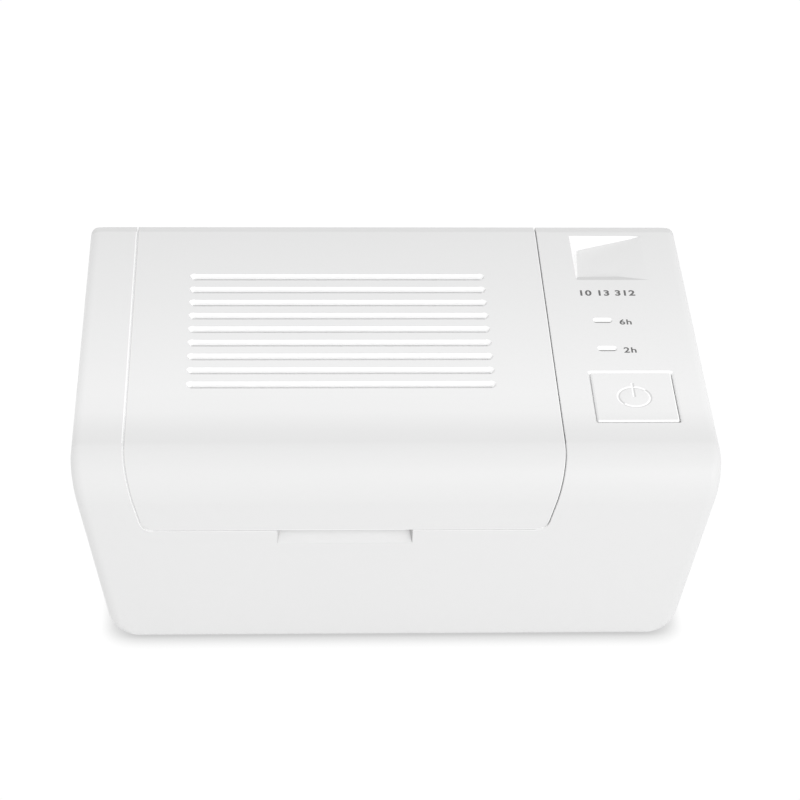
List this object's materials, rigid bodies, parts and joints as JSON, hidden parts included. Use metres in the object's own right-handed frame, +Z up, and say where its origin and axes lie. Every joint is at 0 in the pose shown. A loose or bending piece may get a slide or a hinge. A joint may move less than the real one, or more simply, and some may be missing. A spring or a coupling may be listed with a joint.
{
  "type": "hearing aid dryer",
  "caption": "Desktop dryer for hearing aids: drafted white case with a slotted wrap-over lid on a rear hinge, a removable drying tray, a square power button, timer windows and a cell rest.",
  "frame": {"origin": "under the middle of the body, on the plane that the feet stand on", "axes": "+X to the right along the front face, +Y from the front face to the hinge, +Z up"},
  "size_m": [0.1232, 0.0856, 0.0412],
  "materials": {
    "white_shell": "fine satin moulded ABS",
    "soft_white": "matt heat-resistant moulding",
    "grey_rubber": "matt silicone rubber",
    "steel": "bright zinc-plated",
    "alloy": "mill finish",
    "black_moulding": "matt",
    "red_lead": "matt silicone insulation",
    "laminate": "solder-masked laminate",
    "frosted": "frosted clear moulding",
    "led_body": "clear",
    "brass": "bright"
  },
  "bodies": {
    "base": {"housing": "white_shell", "base_cover": "white_shell", "rubber_feet": "grey_rubber", "base_screws": "steel", "hinge_pins": "steel", "lid_bumpers": "grey_rubber", "chamber_tub": "soft_white", "aid_tray": "white_shell", "heater_plate": "alloy", "heater_element": "alloy", "heater_clamp": "steel", "heater_screws": "steel", "thermal_cutout": "black_moulding", "heater_leads": "red_lead", "control_board": "laminate", "board_components": "black_moulding", "board_screws": "steel", "tactile_switch": "black_moulding", "light_pipe_rear": "frosted", "light_pipe_front": "frosted", "indicator_leds": "led_body", "power_socket": "black_moulding", "socket_contacts": "brass"},
    "lid_body": {"lid": "white_shell", "lid_liner": "soft_white"},
    "button_body": {"power_button": "white_shell", "switch_plunger": "soft_white"}
  },
  "joints": [
    {"name": "lid_hinge", "type": "hinge", "parent": "base", "child": "lid_body", "pos_m": [-0.0099, 0.03795, 0.0364], "axis": [-1, 0, 0], "range_deg": [0, 100]},
    {"name": "power_press", "type": "slide", "parent": "base", "child": "button_body", "axis": [0, 0, -1], "range_m": [0, 0.0005], "stiffness_N_per_m": 2000}
  ]
}
